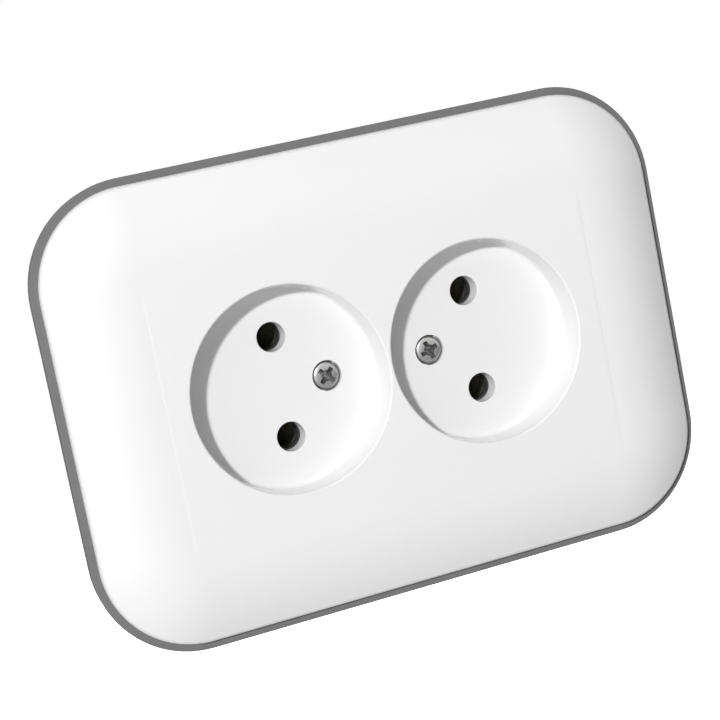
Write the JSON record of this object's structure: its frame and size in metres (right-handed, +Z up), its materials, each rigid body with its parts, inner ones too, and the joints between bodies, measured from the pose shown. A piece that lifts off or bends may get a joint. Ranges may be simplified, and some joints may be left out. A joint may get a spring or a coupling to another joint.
{
  "type": "double wall socket",
  "caption": "Flush double wall socket: a crowned white cover with round recesses for two-pin plugs on a thin grey trim frame, with contacts in an insulating base on a steel frame behind.",
  "frame": {"origin": "on the wall plane, midway between the two wall box screws", "axes": "+X to the right along the plate's length, +Z up, the front looks along -Y and +Y goes into the wall"},
  "size_m": [0.1242, 0.032, 0.088],
  "materials": {
    "cover_plastic": "smooth white moulding with a soft gloss",
    "trim_plastic": "plain grey moulding, satin",
    "screw_steel": "nickel plated, bright",
    "frame_steel": "zinc plated sheet, dull",
    "base_plastic": "dark thermoset moulding",
    "contact_brass": "brass with a thin coat of tin, worn in places",
    "spring_steel": "blued spring steel",
    "rivet_metal": "bare, as set",
    "rear_board": "brown insulating board"
  },
  "bodies": {
    "root": {"contact_rivets": "rivet_metal", "cover": "cover_plastic", "cover_inserts": "contact_brass", "cover_screws": "screw_steel", "frame_rivets": "rivet_metal", "line_contact_left": "contact_brass", "line_contact_right": "contact_brass", "line_spring_left": "spring_steel", "line_spring_right": "spring_steel", "line_strip": "contact_brass", "line_terminal": "contact_brass", "neutral_contact_left": "contact_brass", "neutral_contact_right": "contact_brass", "neutral_spring_left": "spring_steel", "neutral_spring_right": "spring_steel", "neutral_strip": "contact_brass", "neutral_terminal": "contact_brass", "rear_cover": "rear_board", "rear_cover_screws": "screw_steel", "socket_base": "base_plastic", "support_frame": "frame_steel", "terminal_screws": "screw_steel", "trim_frame": "trim_plastic"}
  },
  "joints": []
}
